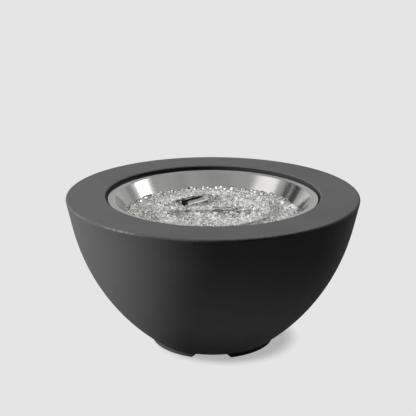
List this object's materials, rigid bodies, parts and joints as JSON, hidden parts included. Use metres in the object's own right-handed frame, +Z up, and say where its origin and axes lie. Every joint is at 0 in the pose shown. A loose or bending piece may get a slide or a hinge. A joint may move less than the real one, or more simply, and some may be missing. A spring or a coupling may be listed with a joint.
{
  "type": "gas fire pit bowl",
  "caption": "Cast concrete fire bowl on a notched foot with a drop-in stainless gas burner pan, clear fire glass and rear gas controls.",
  "frame": {"origin": "centre of the resting face of the feet", "axes": "+Z up; the front faces -Y and the gas controls are in the back wall, at +Y"},
  "size_m": [0.7426, 0.7426, 0.384],
  "materials": {
    "concrete": "charcoal pigmented cast concrete, matte, sealed",
    "stainless": "spun and brushed stainless steel",
    "burner_steel": "dull stainless steel",
    "brass": "machined brass",
    "copper": "drawn copper",
    "black_plastic": "moulded black plastic, fine grain",
    "button_plastic": "moulded black push button",
    "cell_jacket": "plain battery jacket",
    "hose_braid": "woven wire sleeve",
    "lead_rubber": "silicone sleeve",
    "ceramic": "white alumina",
    "clear_glass": "tumbled clear fire glass"
  },
  "bodies": {
    "bowl": {"bowl_shell": "concrete", "control_plate": "stainless", "panel_screws": "stainless", "valve_body": "brass", "valve_bonnet": "brass", "valve_nut": "brass", "spring_seat": "stainless", "valve_spring": "stainless", "safety_magnet": "brass", "igniter_housing": "black_plastic", "igniter_nut": "black_plastic", "battery": "cell_jacket", "battery_spring": "stainless", "inlet_fitting": "brass", "outlet_fitting": "brass", "outlet_nut": "brass", "flex_hose": "hose_braid", "igniter_lead": "lead_rubber", "ground_lead": "lead_rubber", "sensor_lead": "copper"},
    "stem_push": {"spring_washer": "stainless"},
    "knob": {"valve_knob": "black_plastic", "valve_stem": "stainless"},
    "plug": {"valve_plug": "brass"},
    "cap_carrier": {"cap_contact": "stainless"},
    "cap": {"igniter_cap": "black_plastic", "button_spring": "stainless"},
    "button": {"igniter_button": "button_plastic"},
    "burner": {"burner_pan": "stainless", "burner_ring": "burner_steel", "burner_crossbar": "burner_steel", "burner_hub": "burner_steel", "hub_washer": "stainless", "jam_nut": "stainless", "burner_stands": "stainless", "air_mixer": "burner_steel", "gas_orifice": "brass", "orifice_nut": "brass", "pilot_hood": "stainless", "pilot_shield": "burner_steel", "pilot_screws": "stainless", "spark_ceramic": "ceramic", "spark_wire": "stainless", "flame_sensor": "copper", "ground_stud": "stainless", "glass_bed": "clear_glass", "glass_gems": "clear_glass"},
    "shutter": {"air_shutter": "burner_steel"}
  },
  "joints": [
    {"name": "burner_lift", "type": "slide", "parent": "bowl", "child": "burner", "axis": [0, 0, 1], "range_m": [0, 0.19], "deforming": ["flex_hose", "igniter_lead", "ground_lead", "sensor_lead"]},
    {"name": "shutter_turn", "type": "hinge", "parent": "burner", "child": "shutter", "pos_m": [0, 0, 0.257], "axis": [0, 0, 1], "range_deg": [0, 60]},
    {"name": "stem_push", "type": "slide", "parent": "bowl", "child": "stem_push", "axis": [0, -0.9537, 0.3007], "range_m": [0, 0.003], "stiffness_N_per_m": 1500, "springref_m": -0.003, "deforming": ["valve_spring"]},
    {"name": "knob_turn", "type": "hinge", "parent": "stem_push", "child": "knob", "pos_m": [0.032, 0.35055, 0.2672], "axis": [0, 0.9537, -0.3007], "range_deg": [0, 180]},
    {"name": "plug_turn", "type": "hinge", "parent": "bowl", "child": "plug", "pos_m": [0.032, 0.29809, 0.28373], "axis": [0, 0.9537, -0.3007], "range_deg": [0, 180]},
    {"name": "cap_out", "type": "slide", "parent": "bowl", "child": "cap_carrier", "axis": [0, 0.9537, -0.3007], "range_m": [0, 0.006]},
    {"name": "cap_turn", "type": "hinge", "parent": "cap_carrier", "child": "cap", "pos_m": [-0.032, 0.3391, 0.2708], "axis": [0, 0.9537, -0.3007], "range_deg": [0, 1080]},
    {"name": "button_press", "type": "slide", "parent": "cap", "child": "button", "axis": [0, -0.9537, 0.3007], "range_m": [0, 0.003], "stiffness_N_per_m": 800, "springref_m": -0.003, "deforming": ["button_spring"]}
  ],
  "couplings": [
    {"joint": "plug_turn", "follows": "knob_turn", "ratio": 1},
    {"joint": "cap_out", "follows": "cap_turn", "m_per_rad": 0.00031831}
  ]
}
